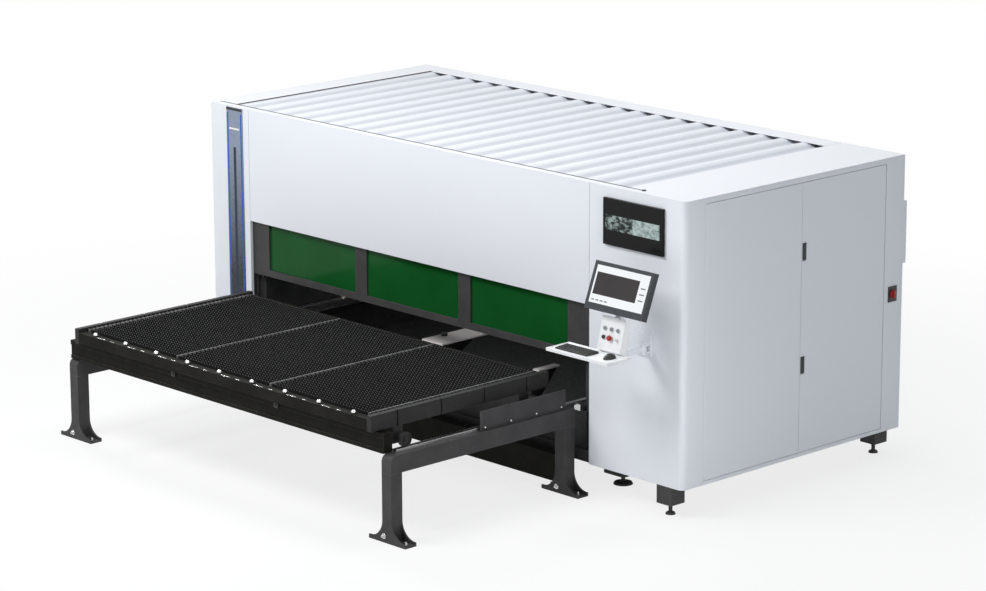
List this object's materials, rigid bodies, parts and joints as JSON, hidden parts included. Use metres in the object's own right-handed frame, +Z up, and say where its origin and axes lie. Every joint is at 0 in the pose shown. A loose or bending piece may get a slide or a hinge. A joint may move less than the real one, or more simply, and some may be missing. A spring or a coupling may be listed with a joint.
{
  "type": "fiber laser cutting machine",
  "caption": "Enclosed sheet laser cutter: white cabinet with a lifting windowed front door, cutting gantry inside, operator console, and a slatted exchange pallet on a leg frame in front.",
  "frame": {"origin": "middle of the whole machine's footprint, on the floor", "axes": "+X along the cabinet to the operator's right, +Y from the exchange table into the cabinet, +Z up"},
  "size_m": [5.008, 4.115, 2.2],
  "materials": {
    "white_paint": "smooth powder coat, satin",
    "dark_paint": "dark grey powder coat",
    "black_paint": "black coated steel",
    "bright_steel": "ground steel",
    "slat_steel": "dark scaled sheet steel",
    "grey_casting": "anodised grey aluminium",
    "pale_plate": "pale painted plate",
    "green_window": "dark green laser protection window",
    "strip_plastic": "glossy dark light strip",
    "display_plastic": "black display",
    "monitor_plastic": "dark grey moulded bezel",
    "black_plastic": "black moulded plastic",
    "grey_plastic": "grey moulded button",
    "red_plastic": "red moulded plastic",
    "wheel_polymer": "cast polyurethane wheel"
  },
  "bodies": {
    "machine": {"base_frame": "dark_paint", "levelling_feet": "black_paint", "left_column": "white_paint", "front_hood": "white_paint", "front_right_panel": "white_paint", "left_side_panel": "white_paint", "rear_panel": "white_paint", "side_frame": "white_paint", "roof_panel": "white_paint", "roof_covers": "white_paint", "door_pivots": "bright_steel", "main_switch_plate": "black_plastic", "cabinet_cooler": "white_paint", "light_strip": "strip_plastic", "wide_display": "display_plastic", "bed_side_walls": "dark_paint", "bed_end_plates": "dark_paint", "scrap_tray": "dark_paint", "gantry_tracks": "bright_steel", "infeed_plates": "pale_plate", "door_guides": "dark_paint", "partition_wall": "white_paint", "mounting_plate": "white_paint", "laser_source": "dark_paint", "frame_legs": "dark_paint", "frame_side_beams": "dark_paint", "frame_cross_beams": "black_paint", "chain_guards": "dark_paint", "pallet_rails": "bright_steel", "console_bracket": "white_paint"},
    "front_door": {"lift_door": "dark_paint", "lift_door_windows": "green_window"},
    "gantry": {"gantry_beam": "grey_casting"},
    "carriage": {"head_carriage": "grey_casting"},
    "head": {"cutting_head": "grey_casting"},
    "pallet": {"pallet_side_tubes": "dark_paint", "pallet_end_bars": "black_paint", "pallet_combs": "black_paint", "slats": "slat_steel", "transfer_balls": "bright_steel"},
    "wheel_front_left": {"wheel_front_left": "wheel_polymer"},
    "wheel_front_right": {"wheel_front_right": "wheel_polymer"},
    "wheel_rear_left": {"wheel_rear_left": "wheel_polymer"},
    "wheel_rear_right": {"wheel_rear_right": "wheel_polymer"},
    "service_door_front": {"side_door_front": "white_paint"},
    "service_door_rear": {"side_door_rear": "white_paint"},
    "handle_upper": {"door_handle_upper": "black_plastic"},
    "handle_lower": {"door_handle_lower": "black_plastic"},
    "switch_knob": {"main_switch_knob": "red_plastic"},
    "console": {"console_arm": "white_paint", "button_box": "white_paint", "keyboard_tray": "white_paint", "keyboard_and_mouse": "black_plastic"},
    "monitor": {"monitor": "monitor_plastic"},
    "button_left": {"push_button_left": "grey_plastic"},
    "button_middle": {"push_button_middle": "grey_plastic"},
    "button_right": {"push_button_right": "grey_plastic"},
    "start": {"start_button": "black_plastic"},
    "stop": {"emergency_stop": "red_plastic"},
    "key": {"key_switch": "bright_steel"}
  },
  "joints": [
    {"name": "pallet_slide", "type": "slide", "parent": "machine", "child": "pallet", "axis": [0, 1, 0], "range_m": [0, 1.95]},
    {"name": "wheel_front_left_spin", "type": "hinge", "parent": "pallet", "child": "wheel_front_left", "pos_m": [-1.934, -1.8225, 0.6753], "axis": [1, 0, 0], "range_deg": [-2300, 100]},
    {"name": "wheel_rear_left_spin", "type": "hinge", "parent": "pallet", "child": "wheel_rear_left", "pos_m": [-1.934, -0.6625, 0.6753], "axis": [1, 0, 0], "range_deg": [-2300, 100]},
    {"name": "wheel_front_right_spin", "type": "hinge", "parent": "pallet", "child": "wheel_front_right", "pos_m": [1.426, -1.8225, 0.6753], "axis": [1, 0, 0], "range_deg": [-2300, 100]},
    {"name": "wheel_rear_right_spin", "type": "hinge", "parent": "pallet", "child": "wheel_rear_right", "pos_m": [1.426, -0.6625, 0.6753], "axis": [1, 0, 0], "range_deg": [-2300, 100]},
    {"name": "front_door_lift", "type": "slide", "parent": "machine", "child": "front_door", "axis": [0, 0, 1], "range_m": [-0.2, 0.42]},
    {"name": "gantry_travel", "type": "slide", "parent": "machine", "child": "gantry", "axis": [0, 1, 0], "range_m": [0, 1.45]},
    {"name": "carriage_travel", "type": "slide", "parent": "gantry", "child": "carriage", "axis": [1, 0, 0], "range_m": [-0.7, 2.35]},
    {"name": "head_lift", "type": "slide", "parent": "carriage", "child": "head", "axis": [0, 0, 1], "range_m": [0, 0.1]},
    {"name": "service_door_front_hinge", "type": "hinge", "parent": "machine", "child": "service_door_front", "pos_m": [2.469, -0.0525, 1.2], "axis": [0, 0, -1], "range_deg": [0, 110]},
    {"name": "service_door_rear_hinge", "type": "hinge", "parent": "machine", "child": "service_door_rear", "pos_m": [2.469, 1.7725, 1.2], "axis": [0, 0, 1], "range_deg": [0, 110]},
    {"name": "handle_upper_lift", "type": "hinge", "parent": "service_door_rear", "child": "handle_upper", "pos_m": [2.472, 0.9305, 1.616], "axis": [0, 1, 0], "range_deg": [0, 45], "stiffness_Nm_per_rad": 0.6},
    {"name": "handle_lower_lift", "type": "hinge", "parent": "service_door_rear", "child": "handle_lower", "pos_m": [2.472, 0.9305, 0.811], "axis": [0, 1, 0], "range_deg": [0, 45], "stiffness_Nm_per_rad": 0.6},
    {"name": "main_switch_turn", "type": "hinge", "parent": "machine", "child": "switch_knob", "pos_m": [2.486, 1.87, 1.21], "axis": [1, 0, 0], "range_deg": [0, 90]},
    {"name": "console_swing", "type": "hinge", "parent": "machine", "child": "console", "pos_m": [2.146, -0.3125, 1.156], "axis": [0, 0, 1], "range_deg": [-30, 30]},
    {"name": "monitor_tilt", "type": "hinge", "parent": "console", "child": "monitor", "pos_m": [2.146, -0.5325, 1.59], "axis": [1, 0, 0], "range_deg": [-10, 15]},
    {"name": "button_left_press", "type": "slide", "parent": "console", "child": "button_left", "axis": [0, 0.9703, -0.2419], "range_m": [0, 0.004], "stiffness_N_per_m": 300},
    {"name": "button_middle_press", "type": "slide", "parent": "console", "child": "button_middle", "axis": [0, 0.9703, -0.2419], "range_m": [0, 0.004], "stiffness_N_per_m": 300},
    {"name": "button_right_press", "type": "slide", "parent": "console", "child": "button_right", "axis": [0, 0.9703, -0.2419], "range_m": [0, 0.004], "stiffness_N_per_m": 300},
    {"name": "start_press", "type": "slide", "parent": "console", "child": "start", "axis": [0, 0.9703, -0.2419], "range_m": [0, 0.004], "stiffness_N_per_m": 300},
    {"name": "stop_press", "type": "slide", "parent": "console", "child": "stop", "axis": [0, 0.9703, -0.2419], "range_m": [0, 0.004]},
    {"name": "key_turn", "type": "hinge", "parent": "console", "child": "key", "pos_m": [2.231, -0.64766, 1.288], "axis": [0, -0.9703, 0.2419], "range_deg": [0, 90]}
  ],
  "couplings": [
    {"joint": "wheel_front_left_spin", "follows": "pallet_slide", "rad_per_m": -20},
    {"joint": "wheel_rear_left_spin", "follows": "pallet_slide", "rad_per_m": -20},
    {"joint": "wheel_front_right_spin", "follows": "pallet_slide", "rad_per_m": -20},
    {"joint": "wheel_rear_right_spin", "follows": "pallet_slide", "rad_per_m": -20}
  ]
}
